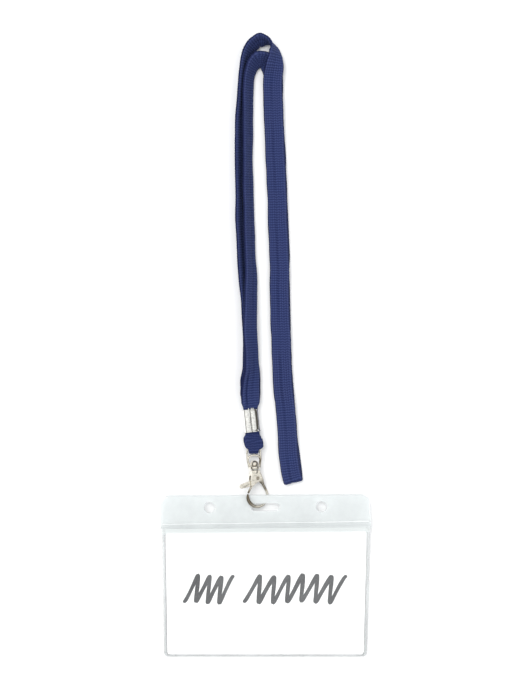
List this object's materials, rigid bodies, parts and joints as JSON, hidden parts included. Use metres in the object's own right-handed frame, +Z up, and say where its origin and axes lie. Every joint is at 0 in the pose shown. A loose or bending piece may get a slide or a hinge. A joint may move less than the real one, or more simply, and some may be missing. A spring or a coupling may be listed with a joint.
{
  "type": "lanyard badge holder",
  "caption": "Clear horizontal card pocket with a punched header, hung by a swivel trigger hook from a flat knit neck strap with a metal crimp.",
  "frame": {"origin": "middle of the whole object's box, on the table surface", "axes": "+Y from the card pocket to the neck end of the strap, +X across the pocket, +Z up from the table"},
  "size_m": [0.1042, 0.3118, 0.0109],
  "materials": {
    "strap_knit": "navy polyester tubular knit, matt with a slight sheen",
    "nickel_plate": "bright nickel plate on formed sheet",
    "hook_metal": "bright nickel plate on a die casting",
    "rivet_metal": "dull plated rivet",
    "spring_steel": "drawn spring wire",
    "frosted_vinyl": "soft frosted vinyl, pale blue-grey",
    "clear_vinyl": "clear soft vinyl film",
    "weld_vinyl": "welded vinyl border",
    "white_card": "smooth white card"
  },
  "bodies": {
    "lanyard": {"neck_strap": "strap_knit", "crimp_sleeve": "nickel_plate"},
    "bail": {"swivel_bail": "hook_metal"},
    "hook": {"swivel_stud": "hook_metal", "stud_washer": "nickel_plate", "hook_body": "hook_metal", "gate_rivet": "rivet_metal", "gate_spring": "spring_steel"},
    "gate": {"gate_lever": "hook_metal"},
    "holder": {"header_front": "frosted_vinyl", "header_back": "frosted_vinyl", "pocket_front": "clear_vinyl", "pocket_back": "clear_vinyl", "pocket_weld": "weld_vinyl"},
    "card": {"card_insert": "white_card"}
  },
  "joints": [
    {"name": "bail_swing", "type": "hinge", "parent": "lanyard", "child": "bail", "pos_m": [-0.00565, -0.0519, 0.0036], "axis": [0.9982, 0.0593, 0], "range_deg": [-60, 60]},
    {"name": "hook_swivel", "type": "hinge", "parent": "bail", "child": "hook", "pos_m": [-0.00565, -0.0519, 0.0036], "axis": [-0.0593, 0.9982, 0], "continuous": true},
    {"name": "gate_open", "type": "hinge", "parent": "hook", "child": "gate", "pos_m": [-0.00417, -0.06614, 0.0033], "axis": [0.4219, 0.0251, 0.9063], "range_deg": [0, 18], "stiffness_Nm_per_rad": 0.002, "springref_deg": -5.73},
    {"name": "holder_turn", "type": "hinge", "parent": "hook", "child": "holder", "pos_m": [-0.00328, -0.08041, 0.00328], "axis": [-0.0593, 0.9982, 0], "range_deg": [-130, 0]},
    {"name": "card_slide", "type": "slide", "parent": "holder", "child": "card", "axis": [0, 0.9994, 0.0353], "range_m": [0, 0.0018]}
  ]
}
